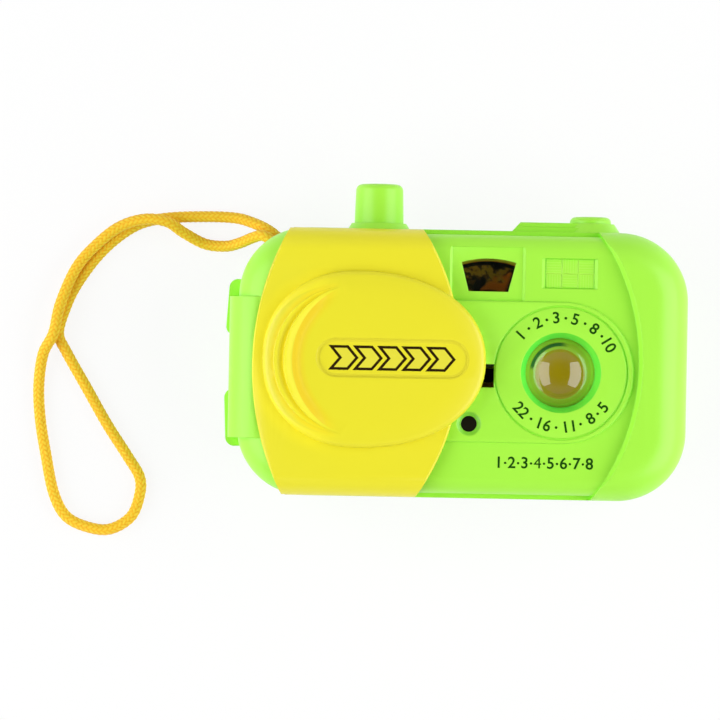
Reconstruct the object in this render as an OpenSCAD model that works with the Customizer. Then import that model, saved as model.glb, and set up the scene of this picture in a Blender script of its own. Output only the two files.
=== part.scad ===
// Toy viewer camera with a sliding lens cover, a plunger and a picture wheel.
// The toy lies on its back: +X to its right as seen from the front, +Y to its top,
// +Z out of its front face. The origin is the middle of the back face. Units are mm.

/* [Body] */
// width of the two shells
body_w = 106.4; // [96:0.2:120]
// height of the two shells, without the plunger
body_h = 62.5; // [58:0.5:72]
// corner radius of the outline
corner_r = 16; // [14:0.5:18]
// inset of the left corners behind the grip strip
left_in = 1.8; // [1:0.1:2.4]
// wall thickness
wall_t = 2; // [1.6:0.1:2.4]
// height of the joint between the shells above the back face
seam_z = 15; // [14.5:0.1:15.5]
// height of the cover track above the back face
track_z = 28.6; // [28.2:0.1:30]
// height of the grips over the track
grip_rise = 2.2; // [1.6:0.1:2.6]
// rounding of the grips' front edges
grip_round = 8; // [6:0.5:9]
// rounding of the back edges
back_round = 5; // [3.5:0.5:6]
// step at the top and bottom of the track for the cover's lips
rail_step = 1.15; // [0.9:0.05:1.3]

/* [Lens cover] */
// travel of the cover
cover_travel = 26.2; // [20:0.1:27]
// thickness of the cover's band
band_t = 1.6; // [1.2:0.1:2]
// thickness of the lips over the rails
lip_t = 0.8; // [0.7:0.05:1]
// height of the oval over the band
oval_rise = 2.2; // [1.6:0.1:3]
// half height of the oval
oval_half_h = 20.5; // [18:0.5:22]
// height of each finger ridge
ridge_step = 0.75; // [0.4:0.05:0.9]
// width of the cover's stem
stem_w = 4.2; // [3.4:0.1:4.8]

/* [Lens and window] */
// position of the lens axis across the body
lens_x = 23.6; // [22.5:0.1:25]
// radius of the clear dome
lens_r = 7.9; // [7:0.1:8.5]
// radius of the lens platform
platform_r = 16.4; // [16:0.1:17]
// height of the lens platform over the track
platform_rise = 0.6; // [0.3:0.05:0.7]
// width of the window at its top
window_w = 12.6; // [10:0.1:13]
// height of the window at its sides
window_h = 6.7; // [5:0.1:7.5]

/* [Plunger] */
// position of the plunger's axis across the body
plunger_x = -19.1; // [-21:0.1:-18]
// plunger radius
plunger_r = 5.8; // [5:0.1:6.2]
// height of the plunger over the body
plunger_rise = 10.6; // [9.5:0.1:13]
// radius of the spring's coil, at the middle of the wire
spring_r = 4; // [3.6:0.1:4.2]
// radius of the spring's wire
wire_r = 0.35; // [0.25:0.05:0.4]

/* [Picture wheel] */
// number of pictures and of pegs
pictures = 8; // [8:1:8]
// distance of the wheel's axis over the middle of the body
wheel_y = 3.6; // [3:0.1:4]
// radius of the circle of pegs
peg_circle = 9; // [8.6:0.1:9.2]
// peg radius
peg_r = 1.2; // [0.9:0.05:1.3]
// thickness of the wheel
wheel_t = 2; // [1.6:0.1:2.4]

/* [Wrist cord] */
// cord diameter
cord_d = 2.7; // [2:0.1:2.9]
// height of the strap hole over the back face
strap_z = 8; // [7.5:0.1:9]

/* [Hidden] */
$fn = 72;

// clearances
slide_gap = 0.2;
turn_gap = 0.2;
seat_gap = 0.05;
stop_gap = 0.1;
wall_gap = 0.3;
over = 1;
through = 40;

// colours
green = [0.53, 0.94, 0.1];
yellow = [0.95, 0.85, 0.08];
steel = [0.72, 0.72, 0.74];
clear = [0.85, 0.92, 0.95, 0.5];
black = [0.06, 0.05, 0.05];
orange = [0.98, 0.62, 0.06];

// body
half_w = body_w / 2;
half_h = body_h / 2;
base_w = body_w - left_in;
base_x = left_in / 2;
track_half = half_h - rail_step;
rail_wall = wall_t - 0.4;
inner_half = track_half - rail_wall;
inner_w = base_w - 2 * wall_t;
inner_r = corner_r - wall_t;
ceiling_z = track_z - wall_t;
grip_z = track_z + grip_rise;
platform_z = track_z + platform_rise;
track_round = 4.2;
ceiling_round = 3;

// grip strip along the left side, and the two pads on it
strip_z = grip_z - 0.4;
strip_out = 0.35;
strip_depth = 10;
pad_z = 4;
pad_h = 8.5;
pad_out = 1.65;
pad_bow_r = 250;
pad_mid = -3;
pad_round = 2.1;
upper_pad = [5.9, 19.2];
lower_pad = [-20.4, -6.9];

// cover: two arcs bound its band, and arcs about the same centres bound the track
cover_left = -half_w + 5.3;
cover_left_r = 66;
cover_left_y = -0.9;
cover_right = 0.4;
cover_right_r = 55;
cover_right_y = 0.6;
rim_w = 0.7;
rim_t = 0.4;
rim_round = 0.35;
bend_y = 27.4;
bend_z = seam_z + 12.2;
bend_t = 0.8;
edge_round = 0.6;
band_round = 5;
grip_w = 10.75;
track_right = half_w - grip_w;
track_right_r = 54;
track_right_y = 0.7;
wall_lean = 0.8;
under_z = platform_z + slide_gap;
band_z = under_z + band_t;
lip_in = track_half + slide_gap;
lip_out = lip_in + lip_t;
lip_z = seam_z + plunger_r + 2;
ledge_z = lip_z - 0.3;
stem_x = -20.4;
stem_y = -2.6;
stem_h = stem_w + 0.8;
slot_right = stem_x + cover_travel + stem_w / 2 + slide_gap;
slot_left = stem_x - stem_w / 2 - slide_gap;
clip_top = ceiling_z - 0.3;
clip_t = 1.7;
clip_w = stem_w + 7.8;
clip_h = stem_h + 5;
cover_screw_r = 0.85;
cover_screw_l = 3.8;
cover_head_r = 1.9;
cover_head_h = 1.4;

// oval: two halves of different length that meet at oval_x
oval_x = cover_left + 24.3;
oval_y = 0.7;
oval_left = 21.9;
oval_right = 29.8;
oval_power = 2.15;
oval_wall = 3;
oval_n = 72;
oval_z = band_z + oval_rise;
crown = 0.5;
tip_x = oval_x - 3.5;
tip_half = oval_half_h - 3.5;
tip_z = oval_z + 0.1;
ridge_y = 0.4;
ridge_bulge = [15.8, 13.5];
ridge_t = 1.4;
ridge_dip = 0.4;
ridge_fall = 1.9;
scoop_bulge = 11.6;
scoop_round = 2.4;
scoop_z = oval_z + 0.3;
pill_x = oval_x + 8.2;
pill_y = oval_y + 0.3;
pill_half = 13.1;
pill_r = 4.1;
pill_d = 0.6;
pill_slope = 0.8;

// lens
lens_y = -1.6;
platform_x = lens_x + 0.5;
platform_round = 0.8 * platform_rise;
groove_r = 15.4;
groove_w = 0.5;
groove_d = 0.35;
dome_h = 5.2;
dome_apex = platform_z - 0.1;
dome_z = dome_apex - dome_h;
dome_r = (lens_r * lens_r + dome_h * dome_h) / (2 * dome_h);
lens_flange = 0.9;
lens_hole_r = lens_r + slide_gap;
bevel_r = lens_r + 1.4;
tube_in = lens_hole_r + 1;
tube_out = tube_in + 1.5;
backing_t = 1.3;
well_r = 4.4;
well_d = 0.8;
tube_z = dome_z - lens_flange - backing_t - 2 * seat_gap;

// picture wheel and what it stands on
wheel_x = 6.5;
wheel_r = inner_half - 1.7 - wheel_y;
picture_r = wheel_r - 6.1;
picture_out = 2.6;
picture_in = 4.4;
picture_half = 10.5;
film_out = 3.5;
wheel_z = seam_z + 3.6;
wheel_top = wheel_z + wheel_t;
film_t = 0.3;
peg_z = seam_z - 1.1;
axle_r = 1.8;
hub_r = 4.4;
hub_z = wheel_z - 1.2;
hub_top = wheel_top + 0.4;
post_r = 3.4;
washer_t = 0.3;
screw_head_r = 3.4;
screw_head_h = 0.9;
thread_r = 1.2;
thread_z = 8;
step_angle = 360 / pictures;

// window and eyepiece, in line with the picture at the top of the wheel
window_y = wheel_y + picture_r;
pane_t = 1;
eye_r = 5.6;
eye_lens_r = 6.5;
eye_ring_r = 7.6;
eye_seat_z = 1.6;
eye_lens_t = 2.2;
eye_ring_z = 5;
eye_cone = 2.6;
eye_curve = 14;
tunnel_r = eye_r + 0.8;
tunnel_flange_r = eye_lens_r + 0.5;
tunnel_flange_t = 1;
tunnel_z = wheel_z - 0.8;

// flash field and sensor spot
flash_x = lens_x + 1.7;
flash_y = window_y + 0.7;
flash_w = 11.4;
flash_h = 7;
flash_d = 0.7;
flash_gap = 0.16;
flash_lift = 0.12;
spot_x = slot_right - 5.6;
spot_y = stem_y - 11.2;
spot_r = 1.8;
spot_flange_r = 2.6;
spot_flange_t = 0.6;
dish_r = 2.9;
dish_d = 0.5;

// plunger and pawl: one stroke moves a peg over one step
plunger_taper = 0.25;
plunger_round = 1.5;
peg_angle = 180 - step_angle / 2;
stroke = 2 * peg_circle * sin(step_angle / 2);
plunger_top = half_h + plunger_rise;
flange_r = plunger_r + 1.2;
flange_top = inner_half - stop_gap;
flange_t = 1.6;
guide_t = 2;
guide_y = wheel_y + 8.4;
guide_half = 5;
stem_r = 2.6;
spigot_r = 1.6;
spigot_l = 6;
pawl_y = wheel_y + peg_circle * sin(peg_angle) + peg_r + 0.2;
pawl_t = 2.6;
pawl_half = 1.6;
pawl_r = 3.4;
pawl_reach = wheel_x - peg_circle + 2.1;
collar_r = plunger_r + 1.5;
collar_h = 1.4;
collar_top_r = plunger_r + 0.65;
spring_y = guide_y + guide_t + stop_gap;
spring_len = flange_top - flange_t - stop_gap - spring_y;
spring_turns = 6;
spring_steps = 14;

// dial and tongue on the top
dial_in = 22.6;
dial_x = half_w - dial_in;
dial_r = 4.85;
dial_h = 3.8;
dial_round = 1.3;
skirt_r = 7.1;
skirt_top_r = 5.6;
skirt_h = 2.2;
tongue_h = 2.2;
tongue_half = 5.65;
tongue_in = 0.85;
tongue_slope = 1.9;
tongue_left = dial_x - 18.5;

// lip inside the joint
lip_rise = 1.4;
lip_w = 1;
lip_root = 2.5;
flange_room = 1;

// case screws
screw_x = base_w / 2 - 18.5;
screw_y = half_h - 8.75;
boss_r = 3.2;
shank_r = 1.1;
head_r = 2.5;
head_h = 1.8;
head_z = 6;
screw_bite = 7.5;
cross_l = 3.4;
cross_w = 0.6;

// strap hole: at exit_a round the top left corner, in the direction strap_a, one strand over the other
exit_a = 121.5;
strap_a = 130;
corner_x = half_w - left_in - corner_r;
corner_y = half_h - corner_r;
strand_gap = 0.8;
strand_rise = 1.3;
hole_gap = 0.5;
knot_r = 3;
knot_edge = 1.4;
knot_core = 0.7;
knot_d = corner_r - 5.8;
strap_n = [cos(strap_a), sin(strap_a), 0];
strap_t = [sin(strap_a), -cos(strap_a), 0];
strap_c = [-corner_x, corner_y, strap_z] + corner_r * ([cos(exit_a), sin(exit_a), 0] - strap_n);

// route of the cord over the table, from one strand's hole round the loop to the other's
cord_r = cord_d / 2;
function out_of(d, s, z) = strap_c + d * strap_n + s * strap_t + [0, 0, z];
lie = cord_r + 0.1;
lift = 3 * cord_r + 0.4;
route = concat(
  [out_of(knot_d, strand_gap, -strand_rise), out_of(corner_r - 1, strand_gap, -strand_rise)],
  [
    [-45.5, 31, 5.6], [-49.5, 32.8, 3.8], [-53.5, 33.8, 2.3], [-60.5, 34, lie], [-69.5, 33.5, lie],
    [-76, 32, lie], [-81.5, 28.5, lie], [-86.5, 23.5, lie], [-91, 17, lie], [-93.5, 11.5, lie],
    [-95, 5.5, lie], [-93, 1, lie], [-88, -7.5, lie], [-83, -16, lie], [-78, -23.5, lie],
    [-75, -28.5, lie], [-75, -33, lie], [-77, -38, lie], [-82, -41, lie], [-87.5, -40.5, lie],
    [-92.5, -38, lie], [-95.5, -32.5, lie], [-97.5, -23.5, lie], [-99, -15, lie], [-99.5, -7, lie],
    [-98.5, 0.5, 2.8], [-96, 5.5, lift], [-94.5, 12.5, lift], [-91, 21, 3.6], [-86.5, 26.5, 3.5],
    [-81, 31, 3.7], [-75, 33, lift], [-69.5, 32.5, lift], [-65.5, 30, 2.8], [-60.5, 27.5, lie],
    [-55.5, 27, 2.5], [-52, 27.8, 4.6], [-49, 29, 7], [-46.5, 29.5, 8.8]
  ],
  [out_of(corner_r - 0.8, -strand_gap, strand_rise), out_of(knot_d, -strand_gap, strand_rise)]
);

// curve through the points of a route, with one point added between each two
function between(p, i) =
  let (n = len(p) - 1, a = p[max(i - 1, 0)], b = p[i], c = p[i + 1], d = p[min(i + 2, n)])
  (9 * (b + c) - a - d) / 16;
function smooth_route(p) = [
  for (k = [0:2 * (len(p) - 1)])
    k % 2 == 0 ? p[k / 2] : between(p, floor(k / 2))
];
function unit(v) = v / norm(v);
function heading(p, i) = unit(p[min(i + 1, len(p) - 1)] - p[max(i - 1, 0)]);

// tube along a path; ref is a direction that the path never takes
module tube(path, r, sides, ref) {
  n = len(path);
  points = [
    for (i = [0:n - 1])
      let (t = heading(path, i), u = unit(cross(t, ref)), v = cross(u, t))
      for (k = [0:sides - 1])
        path[i] + r * (cos(360 * k / sides) * u + sin(360 * k / sides) * v)
  ];
  walls = [
    for (i = [0:n - 2])
      for (k = [0:sides - 1])
        let (m = (k + 1) % sides)
        [i * sides + k, i * sides + m, (i + 1) * sides + m, (i + 1) * sides + k]
  ];
  first = [for (k = [0:sides - 1]) sides - 1 - k];
  last = [for (k = [0:sides - 1]) (n - 1) * sides + k];
  polyhedron(points, concat([first], walls, [last]), convexity = 8);
}

// bar along X with rounded upper edges
module round_bar(run, half, r, z0, z1) {
  translate([-run / 2, 0, 0])
    rotate([90, 0, 90])
      linear_extrude(run) {
        translate([-half, z0]) square([2 * half, z1 - r - z0]);
        translate([r - half, z0]) square([2 * (half - r), z1 - z0]);
        intersection() {
          union() for (s = [-1, 1]) translate([s * (half - r), z1 - r]) circle(r);
          translate([-half, z1 - r]) square([2 * half, r]);
        }
      }
}

// disc with a rounded upper edge
module round_disc(radius, r, z0, z1) {
  rotate_extrude() {
    translate([0, z0]) square([radius, z1 - r - z0]);
    translate([0, z0]) square([radius - r, z1 - z0]);
    intersection() {
      translate([radius - r, z1 - r]) circle(r);
      translate([0, z0]) square([radius, z1 - z0]);
    }
  }
}

// plate with round corners and a rounded upper edge
module round_plate(w, h, corner, r, z0, z1) {
  round_bar(w - 2 * corner, h / 2, r, z0, z1);
  rotate(90) round_bar(h - 2 * corner, w / 2, r, z0, z1);
  for (x = [-1, 1], y = [-1, 1])
    translate([x * (w / 2 - corner), y * (h / 2 - corner), 0]) round_disc(corner, r, z0, z1);
}

module flip(z) {
  translate([0, 0, z]) mirror([0, 0, 1]) children();
}

// what lies beyond a distance from the middle, above and below
module beyond(y) {
  for (s = [0, 1]) mirror([0, s, 0]) translate([-body_w, y, 0]) cube([2 * body_w, body_h, body_h]);
}

// revolved edge of the cover's left side; a thin rim on top hides the gap to the grip, also round the bends
module left_edge() {
  translate([cover_left + cover_left_r, cover_left_y, 0])
    rotate_extrude($fn = 180) {
      translate([0, lip_z - over]) square([cover_left_r - rim_w, band_z - lip_z + over]);
      translate([0, band_z - rim_t]) square([cover_left_r, rim_t - rim_round]);
      translate([0, band_z - rim_t]) square([cover_left_r - rim_round, rim_t]);
      intersection() {
        translate([cover_left_r - rim_round, band_z - rim_round]) circle(rim_round);
        translate([0, band_z - rim_round]) square([cover_left_r, rim_round]);
      }
    }
  difference() {
    intersection() {
      translate([cover_left + cover_left_r, cover_left_y, bend_z])
        cylinder(r = cover_left_r, h = band_z - bend_z - rim_round, $fn = 180);
      beyond(bend_y);
    }
    round_bar(3 * body_w, lip_out - bend_t, band_round - bend_t, lip_z - over, band_z - bend_t);
  }
}

module right_edge() {
  translate([cover_right - cover_right_r, cover_right_y, 0])
    round_disc(cover_right_r, edge_round, lip_z - over, band_z);
}

// space over the track: a plain wall on the left, a leaning one on the right
module track_space() {
  intersection() {
    translate([cover_left + cover_left_r, cover_left_y, ledge_z])
      cylinder(r = cover_left_r - rim_w + wall_gap, h = grip_z, $fn = 180);
    translate([track_right - track_right_r, track_right_y, 0])
      rotate_extrude($fn = 180)
        polygon([
          [0, ledge_z], [track_right_r - wall_lean, ledge_z], [track_right_r - wall_lean, track_z],
          [track_right_r, grip_z], [track_right_r, grip_z + over], [0, grip_z + over]
        ]);
  }
}

// bar of the track, as far as its walls
module track_bar() {
  intersection() {
    round_bar(body_w, track_half, track_round, seam_z, track_z);
    translate([cover_left + cover_left_r, cover_left_y, 0])
      cylinder(r = cover_left_r - rim_w + 2 * wall_gap, h = grip_z, $fn = 180);
    translate([track_right - track_right_r, track_right_y, 0])
      cylinder(r = track_right_r, h = grip_z, $fn = 180);
  }
}

// trough along Y with sloping sides
module trough(half_low, half_high, z_low, z_high, length) {
  rotate([-90, 0, 0]) mirror([0, 1, 0])
    linear_extrude(length)
      polygon([[-half_low, z_low], [half_low, z_low], [half_high, z_high], [-half_high, z_high]]);
}

function bulge(c) = sign(c) * pow(abs(c), 2 / oval_power);
function oval_points(inset, n) = [
  for (k = [0:n - 1])
    let (a = 360 * k / n, run = cos(a) < 0 ? oval_left : oval_right)
    [(run - inset) * bulge(cos(a)), (oval_half_h - inset) * bulge(sin(a))]
];
function arc_radius(half, rise) = (half * half + rise * rise) / (2 * rise);

// loft through ovals: each ring is an inset and a height
module oval_loft(rings, n) {
  points = [
    for (ring = rings)
      for (p = oval_points(ring[0], n))
        [oval_x + p[0], oval_y + p[1], ring[1]]
  ];
  walls = [
    for (i = [0:len(rings) - 2])
      for (k = [0:n - 1])
        let (m = (k + 1) % n)
        [i * n + m, i * n + k, (i + 1) * n + k, (i + 1) * n + m]
  ];
  bottom = [for (k = [0:n - 1]) k];
  top = [for (k = [0:n - 1]) len(rings) * n - 1 - k];
  polyhedron(points, concat([bottom], walls, [top]));
}

module at_screws() {
  for (x = [-1, 1], y = [-1, 1]) translate([base_x + x * screw_x, y * screw_y, 0]) children();
}

module on_base() {
  translate([base_x, 0, 0]) children();
}

// turns a solid of revolution from the Z axis to the plunger's axis
module on_plunger_axis() {
  translate([plunger_x, 0, seam_z]) rotate([-90, 0, 0]) children();
}

// collar, dial and tongue stand on the top, half on each shell
module top_mouldings() {
  on_plunger_axis() {
    translate([0, 0, inner_half]) cylinder(r = collar_r, h = half_h - inner_half);
    translate([0, 0, half_h]) cylinder(r1 = collar_r, r2 = collar_top_r, h = collar_h);
  }
  translate([dial_x, 0, seam_z]) rotate([-90, 0, 0]) {
    translate([0, 0, inner_half]) cylinder(r = skirt_r, h = half_h - inner_half);
    translate([0, 0, half_h]) cylinder(r1 = skirt_r, r2 = skirt_top_r, h = skirt_h);
    round_disc(dial_r, dial_round, inner_half, half_h + dial_h);
  }
  for (s = [[tongue_half, 0.5], [tongue_half - tongue_in, 1]])
    translate([0, 0, seam_z - s[0]])
      linear_extrude(2 * s[0])
        polygon([
          [tongue_left, half_h - over], [tongue_left, half_h + 0.1],
          [tongue_left + s[1] * tongue_slope, half_h + s[1] * tongue_h],
          [dial_x, half_h + s[1] * tongue_h], [dial_x, half_h - over]
        ]);
}

module plunger_bore() {
  on_plunger_axis() cylinder(r = plunger_r + slide_gap, h = 2 * half_h);
}

// two strand bores, one over the other, that join to one slot through the corner wall
module strap_hole() {
  bore = cord_r + hole_gap;
  translate(strap_c) rotate([0, 0, strap_a])
    for (s = [-1, 1])
      translate([knot_d, -s * strand_gap, -s * strand_rise])
        rotate([0, 90, 0]) cylinder(r = bore, h = knot_d);
}

// strip that stands out along the left side
module side_strip(r, z0, z1) {
  intersection() {
    round_plate(body_w + 2 * strip_out, 2 * body_h, corner_r, r, z0, z1);
    translate([-half_w - over, lens_y - platform_r, z0])
      cube([strip_depth, 2 * platform_r, z1 - z0 + over]);
  }
}

// front shell without its hollow: rail ledge, track, grips and the side strip
module front_form() {
  on_base() round_plate(base_w, body_h, corner_r, 0.4, seam_z, ledge_z);
  track_bar();
  difference() {
    union() {
      on_base() round_plate(base_w, body_h, corner_r, grip_round, seam_z, grip_z);
      side_strip(grip_round, seam_z, strip_z);
    }
    track_space();
  }
}

module platform() {
  left = slot_left - 5;
  translate([platform_x, lens_y, 0]) round_disc(platform_r, platform_round, ceiling_z, platform_z);
  translate([left, lens_y, 0]) round_disc(platform_r, platform_round, ceiling_z, platform_z);
  translate([(platform_x + left) / 2, lens_y, 0])
    round_bar(platform_x - left, platform_r, platform_round, ceiling_z, platform_z);
}

// window outline: narrower at the bottom, arched at the top
module window_area(grow) {
  w = window_w / 2 + grow;
  b = w - 1.7;
  top = window_h / 2 + grow;
  arch = 22;
  intersection() {
    polygon([[-w - 0.8, top + 3], [-b, -top], [b, -top], [w + 0.8, top + 3]]);
    translate([0, top + 0.95 - arch]) circle(arch, $fn = 144);
  }
}

// panel round the window: shallow, with sloping sides
module window_panel() {
  low = lens_y + platform_r;
  translate([wheel_x - 0.3, low, 0])
    trough(8.2, 9.2, track_z - 0.5, track_z + 0.5, half_h - 4 - low);
}

// moulded flash field: sunk, with sloping sides and three by two pads on its floor
module flash_recess() {
  translate([flash_x, flash_y - flash_h / 2, 0])
    trough(flash_w / 2, flash_w / 2 + 2 * flash_d, track_z - flash_d, track_z + flash_d, flash_h);
}

module flash_pads() {
  w = (flash_w - 4 * flash_gap) / 3;
  h = (flash_h - 3 * flash_gap) / 2;
  translate([flash_x, flash_y, track_z - flash_d - seat_gap])
    for (i = [-1:1], j = [-0.5, 0.5])
      translate([i * (w + flash_gap) - w / 2, j * (h + flash_gap) - h / 2, 0])
        cube([w, h, flash_lift + seat_gap]);
}

module front_shell() {
  color(green) difference() {
    union() {
      difference() {
        union() {
          front_form();
          platform();
          intersection() {
            top_mouldings();
            translate([-half_w, 0, seam_z]) cube([body_w, body_h, through]);
          }
        }
        on_base() round_plate(inner_w, 2 * inner_half, inner_r, ceiling_round, seam_z - over, ceiling_z);
      }
      at_screws() translate([0, 0, seam_z]) cylinder(r = boss_r, h = ceiling_z - seam_z + 0.5);
      translate([lens_x, lens_y, tube_z]) cylinder(r = tube_out, h = ceiling_z - tube_z + 0.5);
    }
    plunger_bore();
    at_screws() translate([0, 0, seam_z - over])
      cylinder(r = shank_r + seat_gap, h = screw_bite + 1.5 * over);
    translate([lens_x, lens_y, tube_z - over]) cylinder(r = tube_in, h = dome_z - tube_z + over);
    translate([lens_x, lens_y, tube_z]) cylinder(r = lens_hole_r, h = through);
    translate([lens_x, lens_y, ceiling_z])
      cylinder(r1 = lens_hole_r, r2 = bevel_r, h = platform_z - ceiling_z);
    translate([lens_x, lens_y, platform_z - groove_d]) difference() {
      cylinder(r = groove_r + groove_w / 2, h = groove_d + over);
      translate([0, 0, -over]) cylinder(r = groove_r - groove_w / 2, h = groove_d + 3 * over);
    }
    translate([slot_left, stem_y - stem_h / 2 - slide_gap, tube_z])
      cube([slot_right - slot_left, stem_h + 2 * slide_gap, through]);
    window_panel();
    translate([wheel_x, window_y - 0.4, ceiling_z - over]) linear_extrude(through) window_area(0);
    flash_recess();
    translate([spot_x, spot_y, platform_z - dish_d]) cylinder(r1 = dish_r - 0.7, r2 = dish_r, h = dish_d);
    translate([spot_x, spot_y, ceiling_z - over]) cylinder(r = spot_r + seat_gap, h = body_h);
  }
  color(green) flash_pads();
}

module rear_shell() {
  color(green) difference() {
    union() {
      difference() {
        union() {
          flip(seam_z) on_base() round_plate(base_w, body_h, corner_r, back_round, 0, seam_z);
          flip(seam_z) side_strip(back_round, 0, seam_z);
          intersection() {
            top_mouldings();
            translate([-half_w, 0, 0]) cube([body_w, body_h, seam_z]);
          }
          side_pad(upper_pad);
          side_pad(lower_pad);
        }
        flip(seam_z) on_base()
          round_plate(inner_w, 2 * inner_half, inner_r, ceiling_round, -over, seam_z - wall_t);
      }
      at_screws() translate([0, 0, 1]) cylinder(r = boss_r, h = seam_z - 1);
      translate([wheel_x, wheel_y, 1]) cylinder(r = post_r, h = hub_z - stop_gap - 1);
      translate([wheel_x, window_y, 0.5]) cylinder(r = eye_ring_r, h = eye_ring_z - 0.5);
      translate([plunger_x - guide_half, guide_y, 1]) cube([2 * guide_half, guide_t, wheel_z - 1.8]);
      locating_lip();
    }
    plunger_bore();
    strap_hole();
    at_screws() translate([0, 0, -over]) {
      cylinder(r = shank_r + slide_gap, h = 2 * seam_z);
      cylinder(r = head_r + slide_gap, h = head_z + over);
    }
    translate([wheel_x, wheel_y, thread_z - 2]) cylinder(r = thread_r + seat_gap, h = seam_z);
    translate([wheel_x, window_y, -over]) {
      cylinder(r = eye_r, h = through);
      cylinder(r1 = eye_r + eye_cone, r2 = eye_r, h = eye_seat_z - 0.4 + over);
      translate([0, 0, eye_seat_z + over]) cylinder(r = eye_lens_r + seat_gap, h = through);
    }
    on_plunger_axis() translate([0, 0, guide_y - over])
      cylinder(r = stem_r + slide_gap, h = guide_t + 2 * over);
    translate([plunger_x - stem_r - slide_gap, guide_y - over, seam_z])
      cube([2 * (stem_r + slide_gap), guide_t + 2 * over, 10]);
  }
}

// pad on the left side between two heights, tilted as the side bows
module side_pad(span) {
  w = 2 * strip_depth;
  mid = (span[0] + span[1]) / 2;
  off = mid - pad_mid;
  left = half_w + pad_out - off * off / (2 * pad_bow_r);
  translate([-left, mid, pad_z])
    rotate(-asin(off / pad_bow_r))
      linear_extrude(pad_h)
        translate([w / 2, 0]) lip_outline(w, span[1] - span[0], pad_round);
}

// lip inside the joint that locates the front shell
module locating_lip() {
  w = inner_w - 2 * slide_gap;
  h = 2 * (inner_half - slide_gap);
  r = inner_r - slide_gap;
  room = flange_r + flange_room;
  difference() {
    translate([base_x, 0, seam_z - over]) linear_extrude(over + lip_rise) difference() {
      lip_outline(w, h, r);
      lip_outline(w - 2 * lip_w, h - 2 * lip_w, r - lip_w);
    }
    translate([plunger_x - room, 0, 0]) cube([2 * room, body_h, through]);
    translate([wheel_x - wheel_r, 0, 0]) cube([2 * wheel_r, body_h, through]);
  }
  translate([base_x, 0, seam_z - lip_root]) linear_extrude(lip_root) difference() {
    lip_outline(inner_w + lip_w, 2 * inner_half + lip_w, inner_r + lip_w / 2);
    lip_outline(w - 2 * lip_w, h - 2 * lip_w, r - lip_w);
    translate([plunger_x - room - base_x, 0]) square([2 * room, body_h]);
    translate([wheel_x - base_x, window_y]) circle(tunnel_r + wall_gap);
  }
}

module lip_outline(w, h, r) {
  square([w - 2 * r, h], center = true);
  square([w, h - 2 * r], center = true);
  for (x = [-1, 1], y = [-1, 1]) translate([x * (w / 2 - r), y * (h / 2 - r)]) circle(r);
}

// band over the track, oval with finger ridges, and the stem through the slot
module lens_cover() {
  color(yellow) difference() {
    union() {
      difference() {
        union() {
          intersection() {
            round_bar(2 * body_w, lip_out, band_round, lip_z, band_z);
            left_edge();
            right_edge();
          }
          oval_loft(
            [
              [0, under_z], [0.1, oval_z - 1.2], [0.3, oval_z - 0.7], [0.7, oval_z - 0.3],
              [1.3, oval_z], [6, oval_z + crown * 0.6], [12, oval_z + crown]
            ],
            oval_n
          );
        }
        round_bar(3 * body_w, lip_in, band_round - 1, lip_z - over, under_z);
        translate([oval_x, oval_y, under_z - over])
          linear_extrude(oval_rise + over) polygon(oval_points(oval_wall, oval_n));
      }
      finger_ridges();
      translate([stem_x - stem_w / 2, stem_y - stem_h / 2, clip_top])
        cube([stem_w, stem_h, oval_z - 0.5 - clip_top]);
    }
    pill_recess();
    translate([stem_x, stem_y, clip_top - over])
      cylinder(r = cover_screw_r + seat_gap, h = cover_screw_l + over);
  }
}

// crescent terraces that rise to the left from the line through their two tips: each falls a little behind
// its edge, and the last one is scooped out on the right
module finger_ridges() {
  scoop = arc_radius(tip_half, scoop_bulge);
  difference() {
    intersection() {
      for (k = [0, 1])
        let (b = ridge_bulge[k], r = arc_radius(tip_half, b))
        translate([tip_x, ridge_y, tip_z])
          rotate([0, asin((k + 1) * ridge_step / b), 0])
            translate([r - b, 0, -ridge_t]) difference() {
              cylinder(r = r, h = ridge_t, $fn = 144);
              translate([0, 0, ridge_t - ridge_dip])
                cylinder(r1 = r - ridge_fall, r2 = r + 0.1, h = ridge_dip + 0.02, $fn = 144);
            }
      translate([tip_x - 2 * tip_half, -2 * tip_half, oval_z - 2]) cube([2 * tip_half, 4 * tip_half, 6]);
    }
    translate([tip_x - scoop_bulge + scoop, ridge_y, scoop_z])
      flip(through) round_disc(scoop, scoop_round, 0, through);
  }
}

// shallow pill-shaped field with sloping sides
module pill_recess() {
  h = 2;
  top_r = pill_r + pill_slope * h;
  translate([pill_x, pill_y, oval_z + crown - pill_d]) {
    for (s = [-1, 1]) translate([s * pill_half, 0, 0]) cylinder(r1 = pill_r, r2 = top_r, h = h);
    translate([-pill_half, 0, 0]) rotate([90, 0, 90])
      linear_extrude(2 * pill_half) polygon([[-pill_r, 0], [pill_r, 0], [top_r, h], [-top_r, h]]);
  }
}

// cross recess of a screw head
module cross_slot(l, w, h) {
  for (a = [0, 90]) rotate(a) translate([-l / 2, -w / 2, 0]) cube([l, w, h]);
}

module cover_clip() {
  color(yellow) translate([stem_x, stem_y, clip_top - clip_t - seat_gap]) difference() {
    translate([-clip_w / 2, -clip_h / 2, 0]) cube([clip_w, clip_h, clip_t]);
    translate([0, 0, -over]) cylinder(r = cover_screw_r + seat_gap, h = clip_t + 2 * over);
  }
}

module cover_screw() {
  color(steel) translate([stem_x, stem_y, clip_top - clip_t - 2 * seat_gap]) {
    difference() {
      translate([0, 0, -cover_head_h]) cylinder(r = cover_head_r, h = cover_head_h);
      translate([0, 0, -cover_head_h - over]) cross_slot(1.4 * cover_head_r, 0.5, over + 0.6);
    }
    translate([0, 0, -0.1]) cylinder(r = cover_screw_r, h = clip_t + cover_screw_l);
  }
}

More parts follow.
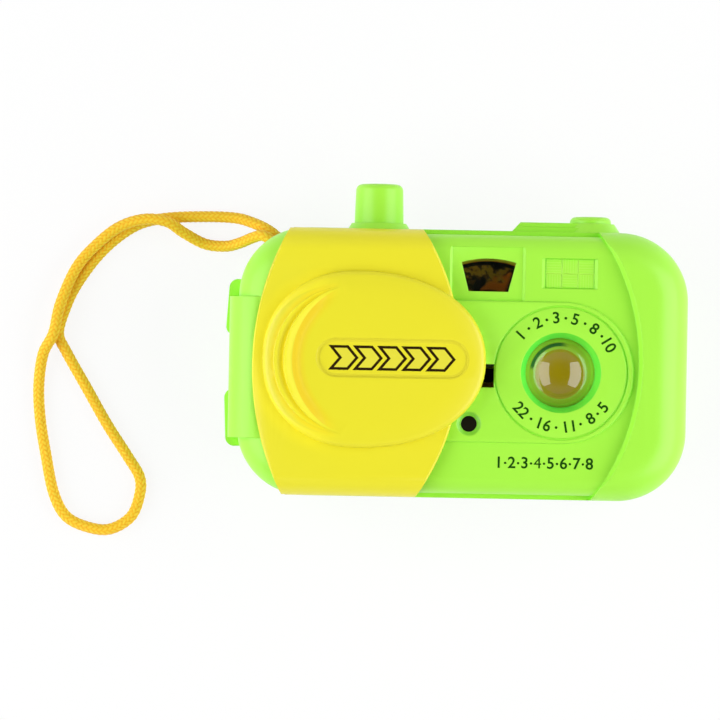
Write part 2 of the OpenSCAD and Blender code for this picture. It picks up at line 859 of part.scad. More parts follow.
module front_lens() {
  color(clear) translate([lens_x, lens_y, 0]) {
    intersection() {
      translate([0, 0, dome_apex - dome_r]) sphere(dome_r);
      translate([0, 0, dome_z - 0.2]) cylinder(r = lens_r, h = through);
    }
    translate([0, 0, dome_z - lens_flange]) cylinder(r = tube_in - seat_gap, h = lens_flange - seat_gap);
  }
}

module lens_backing() {
  color(yellow) translate([lens_x, lens_y, tube_z]) difference() {
    cylinder(r = tube_in - seat_gap, h = backing_t);
    translate([0, 0, backing_t - well_d]) cylinder(r = well_r, h = backing_t);
  }
}

module window_pane() {
  color(clear) translate([wheel_x, window_y, ceiling_z - seat_gap - pane_t])
    translate([-window_w / 2 - 1.2, -window_h / 2 - 2, 0]) cube([window_w + 2.4, window_h + 4, pane_t]);
}

module sensor_plug() {
  color(black) translate([spot_x, spot_y, ceiling_z - spot_flange_t]) {
    cylinder(r = spot_r, h = platform_z - dish_d - ceiling_z + spot_flange_t);
    cylinder(r = spot_flange_r, h = spot_flange_t - seat_gap);
  }
}

module shutter_plunger() {
  top_r = plunger_r - plunger_taper;
  shoulder = plunger_top - plunger_round;
  color(green) on_plunger_axis() {
    rotate_extrude() {
      polygon([
        [0, flange_top - 0.5], [plunger_r, flange_top - 0.5], [plunger_r, half_h], [top_r, shoulder],
        [top_r - plunger_round, shoulder], [top_r - plunger_round, plunger_top], [0, plunger_top]
      ]);
      intersection() {
        translate([top_r - plunger_round, shoulder]) circle(plunger_round);
        translate([0, shoulder]) square([top_r, plunger_round]);
      }
    }
    translate([0, 0, flange_top - flange_t]) cylinder(r = flange_r, h = flange_t);
    translate([0, 0, pawl_y + pawl_t + seat_gap])
      cylinder(r = stem_r, h = flange_top - pawl_y - pawl_t - 1);
    translate([0, 0, pawl_y - 0.4]) cylinder(r = spigot_r, h = spigot_l);
  }
}

module return_spring() {
  n = spring_turns * spring_steps;
  lead = spring_len - 2 * wire_r;
  path = [
    for (i = [0:n])
      let (a = 360 * i / spring_steps)
      [plunger_x + spring_r * cos(a), spring_y + wire_r + lead * i / n, seam_z + spring_r * sin(a)]
  ];
  color(steel) tube(path, wire_r, 8, [0, 1, 0]);
}

// arm that carries the plunger's stroke to a peg of the wheel
module advance_pawl() {
  color(yellow) difference() {
    union() {
      on_plunger_axis() translate([0, 0, pawl_y]) cylinder(r = pawl_r, h = pawl_t);
      translate([plunger_x, pawl_y, seam_z - pawl_half])
        cube([pawl_reach - plunger_x, pawl_t, 2 * pawl_half]);
    }
    on_plunger_axis() translate([0, 0, pawl_y - over])
      cylinder(r = spigot_r + seat_gap, h = pawl_t + 2 * over);
  }
}

// one picture's opening, a sector of a ring
module picture_area() {
  intersection() {
    difference() {
      circle(picture_r + picture_out, $fn = 144);
      circle(picture_r - picture_in, $fn = 144);
    }
    polygon([[0, 0], 2 * wheel_r * [-tan(picture_half), 1], 2 * wheel_r * [tan(picture_half), 1]]);
  }
}

module picture_wheel() {
  color(yellow) translate([wheel_x, wheel_y, 0]) difference() {
    union() {
      translate([0, 0, wheel_z]) cylinder(r = wheel_r, h = wheel_t, $fn = 144);
      translate([0, 0, hub_z]) cylinder(r = hub_r, h = hub_top - hub_z);
      for (k = [0:pictures - 1])
        rotate(peg_angle + k * step_angle)
          translate([peg_circle, 0, peg_z]) cylinder(r = peg_r, h = wheel_z - peg_z + 0.5);
    }
    translate([0, 0, peg_z - over]) cylinder(r = axle_r + turn_gap, h = through);
    for (k = [0:pictures - 1])
      rotate(k * step_angle) translate([0, 0, wheel_z - over])
        linear_extrude(wheel_t + 2 * over) picture_area();
  }
}

module picture_film() {
  color(black) translate([wheel_x, wheel_y, wheel_top + seat_gap]) difference() {
    cylinder(r = picture_r + film_out, h = film_t, $fn = 144);
    translate([0, 0, -over]) cylinder(r = hub_r + wall_gap, h = film_t + 2 * over, $fn = 144);
  }
}

module wheel_screw() {
  head = hub_top + washer_t + 0.2;
  color(steel) translate([wheel_x, wheel_y, 0]) {
    translate([0, 0, thread_z]) cylinder(r = thread_r, h = hub_z - thread_z);
    translate([0, 0, hub_z - stop_gap]) cylinder(r = axle_r, h = head - hub_z + stop_gap);
    difference() {
      translate([0, 0, head]) cylinder(r = screw_head_r, h = screw_head_h);
      translate([0, 0, head + screw_head_h / 2]) cross_slot(1.4 * screw_head_r, cross_w, screw_head_h);
    }
  }
}

module wheel_washer() {
  color(steel) translate([wheel_x, wheel_y, hub_top + washer_t / 2]) difference() {
    cylinder(r = hub_r - 0.2, h = washer_t);
    translate([0, 0, -over]) cylinder(r = axle_r + seat_gap, h = washer_t + 2 * over);
  }
}

module light_tunnel() {
  color(black) translate([wheel_x, window_y, 0]) difference() {
    union() {
      translate([0, 0, eye_seat_z + eye_lens_t + 2 * seat_gap])
        cylinder(r = eye_lens_r, h = eye_ring_z - eye_seat_z - eye_lens_t);
      translate([0, 0, eye_ring_z + seat_gap]) cylinder(r = tunnel_flange_r, h = tunnel_flange_t);
      translate([0, 0, eye_ring_z + seat_gap]) cylinder(r = tunnel_r, h = tunnel_z - eye_ring_z - seat_gap);
    }
    cylinder(r = eye_r, h = body_h);
  }
}

module eyepiece_lens() {
  color(clear) translate([wheel_x, window_y, 0]) intersection() {
    translate([0, 0, eye_seat_z + seat_gap]) cylinder(r = eye_lens_r, h = eye_lens_t);
    translate([0, 0, eye_seat_z + seat_gap + eye_lens_t - eye_curve]) sphere(eye_curve, $fn = 144);
  }
}

module case_screws() {
  color(steel) at_screws() {
    difference() {
      translate([0, 0, head_z - head_h]) cylinder(r = head_r, h = head_h - seat_gap);
      translate([0, 0, head_z - head_h - over]) cross_slot(cross_l, cross_w, over + 1);
    }
    translate([0, 0, head_z - 0.5]) cylinder(r = shank_r, h = seam_z + screw_bite - head_z);
  }
}

module strap_cord() {
  color(orange) tube(smooth_route(route), cord_r, 8, [0, 0, 1]);
}

module strap_knot() {
  color(orange) translate(strap_c + (knot_d - 0.6) * strap_n) rotate([0, 0, strap_a]) rotate([90, 0, 0])
    rotate_extrude() {
      translate([0, -knot_core]) square([knot_r, 2 * knot_core]);
      translate([0, -knot_core - knot_edge]) square([knot_r - knot_edge, 2 * (knot_core + knot_edge)]);
      for (s = [-1, 1]) translate([knot_r - knot_edge, s * knot_core]) circle(knot_edge);
    }
}

front_shell();
rear_shell();
lens_cover();
cover_clip();
cover_screw();
front_lens();
lens_backing();
window_pane();
sensor_plug();
shutter_plunger();
return_spring();
advance_pawl();
picture_wheel();
picture_film();
wheel_screw();
wheel_washer();
light_tunnel();
eyepiece_lens();
case_screws();
strap_cord();
strap_knot();
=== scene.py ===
"""Looks of the toy camera: braided wrist cord, materials, softened edges, prints and film pictures.

Named lengths are in mm, apart from the camera's place and the studio, which are in metres.
"""

import math

import bmesh
import bpy
from mathutils import Matrix, Vector


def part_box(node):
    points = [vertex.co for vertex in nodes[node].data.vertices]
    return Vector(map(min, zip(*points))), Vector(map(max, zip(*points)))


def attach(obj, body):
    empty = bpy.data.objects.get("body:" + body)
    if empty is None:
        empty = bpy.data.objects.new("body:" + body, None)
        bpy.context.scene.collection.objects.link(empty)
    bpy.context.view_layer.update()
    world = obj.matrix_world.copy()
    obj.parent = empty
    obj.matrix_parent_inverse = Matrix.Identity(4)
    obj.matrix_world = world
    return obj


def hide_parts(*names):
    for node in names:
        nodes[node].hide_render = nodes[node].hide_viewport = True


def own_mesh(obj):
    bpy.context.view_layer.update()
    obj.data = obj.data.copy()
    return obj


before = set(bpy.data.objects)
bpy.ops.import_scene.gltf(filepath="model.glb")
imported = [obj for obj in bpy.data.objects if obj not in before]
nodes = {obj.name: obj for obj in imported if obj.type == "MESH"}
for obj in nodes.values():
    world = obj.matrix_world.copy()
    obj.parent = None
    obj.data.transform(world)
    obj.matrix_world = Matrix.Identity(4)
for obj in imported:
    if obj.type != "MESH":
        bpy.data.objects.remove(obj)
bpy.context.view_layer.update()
scene = bpy.context.scene
scene.view_settings.view_transform = "Standard"

MM = 0.001


# camera: straight above the toy, turned a little about its axis

CAMERA_HEIGHT = 0.918
CAMERA_TURN = math.radians(1.1)
CAMERA_AT = (-0.02297, 0.0005)
FOCAL_MM = 192
SENSOR_MM = 36

camera_data = bpy.data.cameras.new("camera")
camera_data.lens = FOCAL_MM
camera_data.sensor_width = SENSOR_MM
camera = bpy.data.objects.new("camera", camera_data)
camera.location = (*CAMERA_AT, CAMERA_HEIGHT)
camera.rotation_euler = (0, 0, CAMERA_TURN)
scene.collection.objects.link(camera)
scene.camera = camera


# node materials

# sockets of a Mix node for colours
MIX_FIRST, MIX_SECOND, MIX_RESULT = 6, 7, 2
BEVEL_SAMPLES = 6
PLAIN_DETAIL, RICH_DETAIL = 2.0, 3.0


class Shading:
    """One material: its Principled shader, and short ways to add and link nodes."""

    def __init__(self, name):
        self.material = bpy.data.materials.new(name)
        self.material.use_nodes = True
        self.tree = self.material.node_tree
        self.shader = self.tree.nodes["Principled BSDF"]

    def add(self, kind, links=(), **settings):
        """New node, with its settings, and a link or a value for each socket in links."""
        node = self.tree.nodes.new(kind)
        for key, value in settings.items():
            setattr(node, key, value)
        for socket, source in dict(links).items():
            if isinstance(source, bpy.types.NodeSocket):
                self.tree.links.new(source, node.inputs[socket])
            else:
                node.inputs[socket].default_value = source
        return node

    def place(self):
        return self.add("ShaderNodeTexCoord").outputs["Object"]

    def noise(self, vector, scale, detail=PLAIN_DETAIL):
        links = {"Vector": vector, "Scale": scale, "Detail": detail}
        return self.add("ShaderNodeTexNoise", links).outputs["Fac"]

    def math(self, operation, *values):
        return self.add("ShaderNodeMath", enumerate(values), operation=operation).outputs[0]

    def hypot(self, a, b):
        """Length of the line with the parts a and b."""
        square = self.math("ADD", self.math("MULTIPLY", a, a), self.math("MULTIPLY", b, b))
        return self.math("SQRT", square)

    def mix(self, factor, first, second):
        node = self.add("ShaderNodeMix", {0: factor}, data_type="RGBA")
        for socket, value in ((MIX_FIRST, first), (MIX_SECOND, second)):
            if isinstance(value, bpy.types.NodeSocket):
                self.tree.links.new(value, node.inputs[socket])
            else:
                node.inputs[socket].default_value = (*value, 1)
        return node.outputs[MIX_RESULT]

    def ramp(self, factor, stops):
        node = self.add("ShaderNodeValToRGB", {"Fac": factor})
        bar = node.color_ramp
        while len(bar.elements) < len(stops):
            bar.elements.new(0.5)
        for element, (at, colour) in zip(bar.elements, stops):
            element.position = at
            element.color = (*colour, 1)
        return node.outputs["Color"]

    def step(self, value, low, high):
        """0 at low and 1 at high, smooth between and flat beyond; either may be the greater."""
        links = {"Value": value, "From Min": low, "From Max": high}
        node = self.add("ShaderNodeMapRange", links, interpolation_type="SMOOTHSTEP")
        return node.outputs["Result"]

    def between(self, value, start, full, fade, end):
        """1 from full to fade, and 0 before start and past end."""
        return self.math("MULTIPLY", self.step(value, start, full), self.step(value, end, fade))

    def spread(self, value, low, high):
        links = {"Value": value, "To Min": low, "To Max": high}
        return self.add("ShaderNodeMapRange", links).outputs["Result"]

    def bump(self, height, strength, distance, edge=0.0):
        """Fine relief, on edges that are rounded by that radius."""
        links = {"Height": height, "Strength": strength, "Distance": distance}
        if edge:
            bevel = self.add("ShaderNodeBevel", {"Radius": edge}, samples=BEVEL_SAMPLES)
            links["Normal"] = bevel.outputs[0]
        self.join(self.add("ShaderNodeBump", links).outputs["Normal"], "Normal")

    def join(self, source, socket):
        self.tree.links.new(source, self.shader.inputs[socket])

    def blend(self, share, other):
        """Shows a share of another shader in place of the Principled one."""
        parts = {0: share, 1: self.shader.outputs[0], 2: other.outputs[0]}
        both = self.add("ShaderNodeMixShader", parts)
        self.tree.links.new(both.outputs[0], self.tree.nodes["Material Output"].inputs["Surface"])

    def set(self, **sockets):
        for socket, value in sockets.items():
            self.shader.inputs[socket.replace("_", " ")].default_value = value


def axis_distance(look, place, x, y):
    """A point's distance from the upright axis at x, y, and the two parts of it, in mm."""
    parts = look.add("ShaderNodeSeparateXYZ", {0: place}).outputs
    dx = look.math("MULTIPLY_ADD", parts["X"], 1 / MM, -x)
    dy = look.math("MULTIPLY_ADD", parts["Y"], 1 / MM, -y)
    return look.hypot(dx, dy), dx, dy


CLOUD_SCALE = 45.0
GLOSS_SPREAD = 0.05
GRAIN_SCALE = 2600.0
GRAIN_STRENGTH = 0.02
GRAIN_DEPTH = 0.4
EDGE_R = 0.25


def plastic(name, colour, shade, roughness=0.36, tint=None, dull=None, relief=None, **sockets):
    """Moulded plastic: two close tones in soft clouds, a fine grain, uneven gloss and rounded edges.

    At a place, tint gives the tone, dull the least roughness, and relief a height on top of the grain.
    """
    look = Shading(name)
    place = look.place()
    cloud = look.noise(place, CLOUD_SCALE, RICH_DETAIL)
    tone = look.mix(cloud, colour, shade)
    if tint:
        tone = tint(look, place, tone)
    look.join(tone, "Base Color")
    gloss = look.spread(cloud, roughness - GLOSS_SPREAD, roughness + GLOSS_SPREAD)
    if dull:
        gloss = look.math("MAXIMUM", gloss, dull(look, place))
    look.join(gloss, "Roughness")
    height = look.noise(place, GRAIN_SCALE)
    if relief:
        height = look.math("ADD", height, relief(look, place))
    look.bump(height, GRAIN_STRENGTH, GRAIN_DEPTH * MM, EDGE_R * MM)
    look.set(**sockets)
    return look.material


# braided wrist cord: one tube from its knot out of the hole, round the loop and back

CORD_R = 1.35
# heights of the cord's middle on the table, and where it passes over itself
LIE = CORD_R + 0.1
LIFT = 3 * CORD_R + 0.4
# the body's round corner, the hole's place on it, and the way both strands run out of it
CORNER = Vector((-35.4, 15.25, 8))
CORNER_R = 16
EXIT_A = math.radians(121.5)
STRAP_A = math.radians(130)
STRAP_OUT = Vector((math.cos(STRAP_A), math.sin(STRAP_A), 0))
STRAP_ASIDE = Vector((math.sin(STRAP_A), -math.cos(STRAP_A), 0))
STRAP_AT = CORNER + CORNER_R * (Vector((math.cos(EXIT_A), math.sin(EXIT_A), 0)) - STRAP_OUT)
KNOT_D = CORNER_R - 5.8
STRAND_GAP = 0.8
STRAND_RISE = 1.3
# how far inside the corner's face each strand leaves its straight line
LOWER_INSIDE, UPPER_INSIDE = 1, 0.8
# the cord's route from the hole, round the loop and back
ON_TABLE = (
    (-45.5, 31, 5.6), (-49.5, 32.8, 3.8), (-53.5, 33.8, 2.3), (-60.5, 34, LIE), (-69.5, 33.5, LIE),
    (-76, 32, LIE), (-81.5, 28.5, LIE), (-86.5, 23.5, LIE), (-91, 17, LIE), (-93.5, 11.5, LIE),
    (-95, 5.5, LIE), (-93, 1, LIE), (-88, -7.5, LIE), (-83, -16, LIE), (-78, -23.5, LIE),
    (-75, -28.5, LIE), (-75, -33, LIE), (-77, -38, LIE), (-82, -41, LIE), (-87.5, -40.5, LIE),
    (-92.5, -38, LIE), (-95.5, -32.5, LIE), (-97.5, -23.5, LIE), (-99, -15, LIE), (-99.5, -7, LIE),
    (-98.5, 0.5, 2.8), (-96, 5.5, LIFT), (-94.5, 12.5, LIFT), (-91, 21, 3.6), (-86.5, 26.5, 3.5),
    (-81, 31, 3.7), (-75, 33, LIFT), (-69.5, 32.5, LIFT), (-65.5, 30, 2.8), (-60.5, 27.5, LIE),
    (-55.5, 27, 2.5), (-52, 27.8, 4.6), (-49, 29, 7), (-46.5, 29.5, 8.8),
)
ROUTE_PARTS = 24
BRAID_STRANDS = 8
BRAID_PITCH = 1.25
BRAID_RISE = 0.13
# form of a strand: how square it is across, and how far and how late it dips at its ends
CROWN_POWER = 2.4
DIP, DIP_POWER = 0.8, 3
CORD_SIDES = 40
CORD_STEP = 0.21
KNOT_TUBE_R = 1.15
KNOT_POINTS = 60
KNOT_STEP = 0.3
# by the braid's height: painted shade in the gaps between strands, painted highlight on the crowns
BRAID_PAINTED_SHADE_AND_HIGHLIGHT = ((0.0, (0.80, 0.34, 0.003)), (0.4, (1.0, 0.56, 0.008)), (1.0, (1.0, 0.75, 0.05)))
WORN_TONE = (0.98, 0.48, 0.02)
WORN_SCALE, WORN_SHARE = 160.0, 0.3
FIBRE_SCALE, FIBRE_SHARE = 3500.0, 0.35
FIBRE_STRENGTH, FIBRE_DEPTH = 0.35, 0.05
YARN_ROUGHNESS = (0.62, 0.82)


def out_of_hole(d, aside, z):
    """Point of a strand: its distance along the hole, and its shift to the side and up."""
    return STRAP_AT + d * STRAP_OUT + aside * STRAP_ASIDE + Vector((0, 0, z))


def strand_end(aside, rise, inside):
    """Straight start of a strand, from the knot to the hole."""
    return [out_of_hole(KNOT_D, aside, rise), out_of_hole(CORNER_R - inside, aside, rise)]


def curve_through(points, parts):
    """Smooth curve through the points, with that many steps between each two."""
    curve = []
    last = len(points) - 1
    for k in range(last):
        a, b, c, d = (points[min(max(k + j, 0), last)] for j in (-1, 0, 1, 2))
        for i in range(parts):
            t = i / parts
            curve.append(
                b + 0.5 * t * ((c - a) + t * ((2 * a - 5 * b + 4 * c - d) + t * (3 * b - a - 3 * c + d)))
            )
    return curve + [points[-1]]


def even_steps(points, step):
    """Points at equal distances along a line, and the line's length."""
    far = [0.0]
    for a, b in zip(points, points[1:]):
        far.append(far[-1] + (b - a).length)
    count = round(far[-1] / step)
    line = []
    k = 0
    for i in range(count + 1):
        s = far[-1] * i / count
        while k < len(points) - 2 and far[k + 1] < s:
            k += 1
        line.append(points[k].lerp(points[k + 1], (s - far[k]) / (far[k + 1] - far[k])))
    return line, far[-1]


def braid_height(angle, s):
    """Height of the braid's surface between 0, a gap, and 1, the crown of the strand on top.

    Each strand passes over two strands of the other hand and then under two.
    """
    turn = BRAID_STRANDS * angle / (2 * math.pi)
    u, v = turn + s / BRAID_PITCH, turn - s / BRAID_PITCH
    phase = (math.floor(u) + math.floor(v)) % 4
    if phase < 2:
        across, along = u % 1, (phase + v % 1) / 2
    else:
        across, along = v % 1, (phase - 2 + u % 1) / 2
    crown = 1 - abs(2 * across - 1) ** CROWN_POWER
    return crown * (1 - DIP * abs(2 * along - 1) ** DIP_POWER)


def keep(mesh, name, material=None):
    """Object from a bmesh."""
    data = bpy.data.meshes.new(name)
    mesh.to_mesh(data)
    mesh.free()
    if material:
        data.materials.append(material)
    thing = bpy.data.objects.new(name, data)
    scene.collection.objects.link(thing)
    return thing


def braided_tube(name, line, radius, rise, sides=CORD_SIDES):
    """Tube along a line, with the surface of a round braid, or a plain one where rise is 0.

    The braid's height is kept for the material.
    """
    last = len(line) - 1
    tangents = [(line[min(i + 1, last)] - line[max(i - 1, 0)]).normalized() for i in range(len(line))]
    side = tangents[0].orthogonal().normalized()
    mesh = bmesh.new()
    height = mesh.verts.layers.float.new("braid")
    rings = []
    s = 0.0
    for i, (point, tangent) in enumerate(zip(line, tangents)):
        side = (side - side.dot(tangent) * tangent).normalized()
        other = tangent.cross(side)
        if i:
            s += (point - line[i - 1]).length
        ring = []
        for k in range(sides):
            angle = 2 * math.pi * k / sides
            h = braid_height(angle, s)
            reach = radius - rise * (1 - h)
            outwards = math.cos(angle) * side + math.sin(angle) * other
            vert = mesh.verts.new((point + reach * outwards) * MM)
            vert[height] = h
            ring.append(vert)
        rings.append(ring)
    for a, b in zip(rings, rings[1:]):
        for k in range(sides):
            n = (k + 1) % sides
            mesh.faces.new((a[k], a[n], b[n], b[k])).smooth = True
    for ring in (rings[0][::-1], rings[-1]):
        mesh.faces.new(ring)
    return keep(mesh, name)


def braid_material():
    """Orange yarn, with painted shade in the gaps and a painted highlight on the crowns, fine fibres and
    worn patches.
    """
    look = Shading("cord_braid")
    place = look.place()
    height = look.add("ShaderNodeAttribute", attribute_name="braid").outputs["Fac"]
    fibre = look.noise(place, FIBRE_SCALE, RICH_DETAIL)
    worn = look.noise(place, WORN_SCALE)
    uneven = look.math("MULTIPLY", look.math("SUBTRACT", fibre, 0.5), FIBRE_SHARE)
    # painted shade in the braid's gaps and painted highlight on its crowns
    tone = look.ramp(look.math("ADD", height, uneven), BRAID_PAINTED_SHADE_AND_HIGHLIGHT)
    look.join(look.mix(look.math("MULTIPLY", worn, WORN_SHARE), tone, WORN_TONE), "Base Color")
    look.join(look.spread(fibre, *YARN_ROUGHNESS), "Roughness")
    look.bump(fibre, FIBRE_STRENGTH, FIBRE_DEPTH * MM)
    look.set(Sheen_Weight=0.12, Specular_IOR_Level=0.35)
    return look.material


braid = braid_material()


def knot():
    """Tight overhand knot inside the corner, where both ends of the cord are tied."""
    low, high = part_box("strap_knot")
    middle = (Vector(low) + Vector(high)) / (2 * MM)
    half = (Vector(high) - Vector(low)) / (2 * MM)
    points = []
    for k in range(KNOT_POINTS):
        t = 2 * math.pi * k / KNOT_POINTS
        loop = (
            (math.sin(t) + 2 * math.sin(2 * t)) / 3,
            (math.cos(t) - 2 * math.cos(2 * t)) / 3,
            -math.sin(3 * t),
        )
        points.append(middle + Vector([(reach - KNOT_TUBE_R) * at for reach, at in zip(half, loop)]))
    line, _ = even_steps(points + [points[0]], KNOT_STEP)
    thing = braided_tube("cord_knot", line, KNOT_TUBE_R, BRAID_RISE)
    thing.data.materials.append(braid)
    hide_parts("strap_knot")
    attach(thing, "body")
    return thing


lower_end = strand_end(STRAND_GAP, -STRAND_RISE, LOWER_INSIDE)
upper_end = strand_end(-STRAND_GAP, STRAND_RISE, UPPER_INSIDE)
route = lower_end + [Vector(point) for point in ON_TABLE] + upper_end[::-1]
cord_line, cord_length = even_steps(curve_through(route, ROUTE_PARTS), CORD_STEP)
cord = braided_tube("braided_cord", cord_line, CORD_R, BRAID_RISE)
cord.data.materials.append(braid)
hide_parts("strap_cord")
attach(cord, "body")
knot()


# green front: the hole of the lens, the dish of the dark spot, and the flash field

GREEN, GREEN_SHADE = (0.43, 0.98, 0.068), (0.41, 0.95, 0.062)
LENS_X, LENS_Y = 23.6, -1.6
HOLE_EDGE, HOLE_FULL = 9.36, 9.22
# painted shade on the wall round the lens, in cloudy patches
HOLE_PAINTED_SHADE = ((0.3, (0.09, 0.84, 0.04)), (0.7, (0.18, 0.92, 0.04)))
HOLE_TONE_SCALE = 120.0
HOLE_ROUGHNESS = 0.75
SPOT_X, SPOT_Y = 2.5, -13.8
DISH_EDGE, DISH_FULL = 2.95, 2.5
# painted shade in the dish round the dark spot
DISH_PAINTED_SHADE = (0.24, 0.72, 0.04)
FLASH_X, FLASH_Y = 25.3, 21.4
FLASH_HALF_W, FLASH_HALF_H = 5.6, 3.4
FLASH_COLUMNS = 3
GAP_X = 1.87
GAP_REACH = (-0.25, -0.1, 0.1, 0.25)
# painted light in the gaps between the flash pads, paler than the green to outweigh their shade
GAP_PAINTED_LIGHT = (0.54, 1.0, 0.10)
RIB_PITCH = 0.6
RIB_HEIGHT = 6.0
# painted highlight on the crests of the flash field's ribs
CREST_PAINTED_HIGHLIGHT = (0.55, 1.0, 0.14)
CREST_SHARE = 0.5


def in_lens_hole(look, place):
    far, _, _ = axis_distance(look, place, LENS_X, LENS_Y)
    return look.step(far, HOLE_EDGE, HOLE_FULL)


def dull_hole(look, place):
    return look.math("MULTIPLY", in_lens_hole(look, place), HOLE_ROUGHNESS)


def hole_and_dish_painted_shade(look, place, tone):
    """Painted shade: deeper green on the wall round the lens and in the dish of the dark spot."""
    inside = in_lens_hole(look, place)
    # painted shade on the lens hole's wall
    deep = look.ramp(look.noise(place, HOLE_TONE_SCALE), HOLE_PAINTED_SHADE)
    tone = look.mix(inside, tone, deep)
    spot, _, _ = axis_distance(look, place, SPOT_X, SPOT_Y)
    # painted shade in the dish round the dark spot
    return look.mix(look.step(spot, DISH_EDGE, DISH_FULL), tone, DISH_PAINTED_SHADE)


def flash_field(look, place):
    """1 on the flash field, and a point's place on it."""
    _, dx, dy = axis_distance(look, place, FLASH_X, FLASH_Y)
    inside_x = look.math("LESS_THAN", look.math("ABSOLUTE", dx), FLASH_HALF_W)
    inside_y = look.math("LESS_THAN", look.math("ABSOLUTE", dy), FLASH_HALF_H)
    return look.math("MULTIPLY", inside_x, inside_y), dx, dy


def flash_gaps(look, place):
    """1 in the gaps between the flash field's pads."""
    inside, dx, dy = flash_field(look, place)
    upright = look.between(look.math("ABSOLUTE", dx), *[GAP_X + side for side in GAP_REACH])
    level = look.between(dy, *GAP_REACH)
    return look.math("MULTIPLY", inside, look.math("MAXIMUM", upright, level))


def flash_hatch(look, place):
    """Fine ribs on the flash field's pads, upright and level by turns."""
    inside, dx, dy = flash_field(look, place)
    pad_w = 2 * FLASH_HALF_W / FLASH_COLUMNS
    column = look.math("FLOOR", look.math("DIVIDE", look.math("ADD", dx, FLASH_HALF_W), pad_w))
    row = look.math("GREATER_THAN", dy, 0.0)
    level = look.math("MODULO", look.math("ADD", column, row), 2.0)
    across = look.math("MULTIPLY_ADD", level, look.math("SUBTRACT", dy, dx), dx)
    wave = look.math("SINE", look.math("MULTIPLY", across, 2 * math.pi / RIB_PITCH))
    return look.math("MULTIPLY", inside, wave)


def flash_ribs(look, place):
    return look.math("MULTIPLY", flash_hatch(look, place), RIB_HEIGHT)


def front_painted_light_and_shade(look, place, tone):
    """Painted shade in the hollows, painted highlights on the crests of the flash field's ribs, and
    painted light in the gaps between its pads.
    """
    # painted highlight on the rib crests
    crest = look.math("MULTIPLY", look.math("MAXIMUM", flash_hatch(look, place), 0.0), CREST_SHARE)
    tone = look.mix(crest, hole_and_dish_painted_shade(look, place, tone), CREST_PAINTED_HIGHLIGHT)
    # painted light in the gaps between the pads
    return look.mix(flash_gaps(look, place), tone, GAP_PAINTED_LIGHT)


# yellow cover: arcs through two common tips bound its oval, ridges and scoop,
# and its field is a slot with round ends

YELLOW, YELLOW_SHADE = (0.90, 0.825, 0.028), (0.88, 0.805, 0.026)
TIP_X, RIDGE_Y, TIP_HALF = -27.1, 0.4, 17
TIP_FADE = 7
OVAL_BULGE = 18.4
BESIDE_REACH = (-5.5, -1.5, -0.3, 0.0)
# painted light beside the oval, brighter than the yellow to outweigh the oval's shade
BESIDE_PAINTED_LIGHT = (1.0, 0.90, 0.026)
# each ridge's bulge and the width of its top
RIDGES = ((15.8, 1.0), (13.5, 2.0))
FOOT_REACH = (-1.6, -0.4, -0.1, 0.0)
# painted shade, warm orange, at the foot of each ridge
FOOT_PAINTED_SHADE = (1.0, 0.84, 0.018)
# painted highlight along each ridge's rounded top
TOP_RISE = (-0.1, 0.05)
TOP_FADE = 0.75
TOP_PAINTED_HIGHLIGHT = (1.0, 0.93, 0.034)
SCOOP_BULGE = 11.6
SCOOP_REACH = (-0.05, 0.2, 0.8, 3.6)
# painted shade, deep orange, on the scoop's wall
SCOOP_PAINTED_SHADE = (0.94, 0.69, 0.010)
FIELD_X, FIELD_Y, FIELD_HALF, FIELD_R = -15.4, 1.0, 13.1, 4.1
FIELD_REACH = (-0.6, -0.3, 0.3, 0.6)
# painted shade on the wall of the cover's field
FIELD_WALL_PAINTED_SHADE = (0.78, 0.70, 0.018)
FIELD_WALL_SHARE = 0.85
HOLLOW_ROUGHNESS = 0.85


def crescent(look, place, bulge):
    """Distance inwards from an arc through the ridges' two tips, and a fade towards the tips."""
    radius = (TIP_HALF * TIP_HALF + bulge * bulge) / (2 * bulge)
    far, dx, _ = axis_distance(look, place, TIP_X - bulge + radius, RIDGE_Y)
    left = look.step(dx, bulge - radius, bulge - radius - TIP_FADE)
    return look.math("SUBTRACT", radius, far), left


def scoop_wall(look, place):
    inwards, left = crescent(look, place, SCOOP_BULGE)
    return look.math("MULTIPLY", look.between(inwards, *SCOOP_REACH), left)


def field_wall(look, place):
    _, dx, dy = axis_distance(look, place, FIELD_X, FIELD_Y)
    beyond = look.math("MAXIMUM", look.math("SUBTRACT", look.math("ABSOLUTE", dx), FIELD_HALF), 0.0)
    far = look.hypot(beyond, dy)
    return look.between(far, *[FIELD_R + reach for reach in FIELD_REACH])


def dull_hollows(look, place):
    walls = look.math("MAXIMUM", scoop_wall(look, place), field_wall(look, place))
    return look.math("MULTIPLY", walls, HOLLOW_ROUGHNESS)


def cover_painted_light_and_shade(look, place, tone):
    """Painted light beside the oval, painted highlights on the finger ridges' tops and painted shade at
    their feet, and painted shade in the scoop and on the field's wall.
    """
    inwards, left = crescent(look, place, OVAL_BULGE)
    # painted light beside the oval
    beside = look.math("MULTIPLY", look.between(inwards, *BESIDE_REACH), left)
    tone = look.mix(beside, tone, BESIDE_PAINTED_LIGHT)
    for bulge, top_w in RIDGES:
        inwards, left = crescent(look, place, bulge)
        # painted highlight on each ridge's top
        top = look.between(inwards, *TOP_RISE, TOP_FADE * top_w, top_w)
        # painted shade at each ridge's foot
        foot = look.between(inwards, *FOOT_REACH)
        tone = look.mix(look.math("MULTIPLY", foot, left), tone, FOOT_PAINTED_SHADE)
        tone = look.mix(look.math("MULTIPLY", top, left), tone, TOP_PAINTED_HIGHLIGHT)
    # painted shade in the scoop
    tone = look.mix(scoop_wall(look, place), tone, SCOOP_PAINTED_SHADE)
    # painted shade on the field's wall
    wall = look.math("MULTIPLY", field_wall(look, place), FIELD_WALL_SHARE)
    return look.mix(wall, tone, FIELD_WALL_PAINTED_SHADE)


